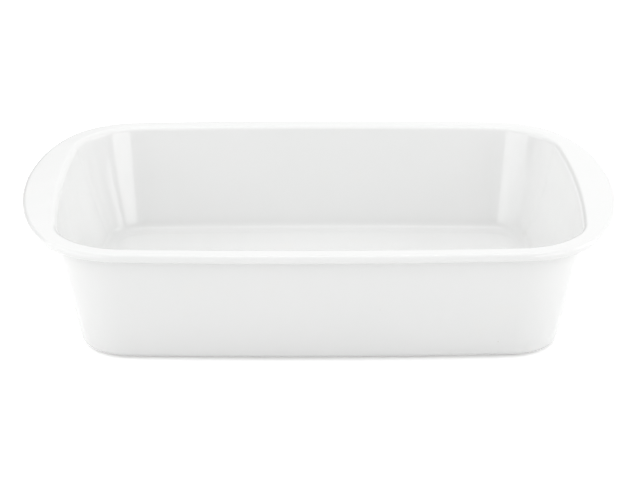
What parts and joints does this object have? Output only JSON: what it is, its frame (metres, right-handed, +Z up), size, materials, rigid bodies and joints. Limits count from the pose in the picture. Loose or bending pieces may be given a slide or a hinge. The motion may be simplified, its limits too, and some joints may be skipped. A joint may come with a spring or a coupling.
{
  "type": "lasagna dish",
  "caption": "Deep oblong white glazed ceramic oven dish with leaning walls, a flat rounded rim and a broad handle at each end.",
  "frame": {"origin": "centre of the base, on the surface that the foot ring stands on", "axes": "+X along the dish from handle to handle, +Y across it, +Z up out of the mouth"},
  "size_m": [0.3676, 0.2418, 0.0774],
  "materials": {
    "fired_clay": "matte bare fired clay",
    "white_glaze": "glossy white glaze"
  },
  "bodies": {
    "root": {"dish_body": "fired_clay", "glaze_coat": "white_glaze", "base_glaze": "white_glaze"}
  },
  "joints": []
}
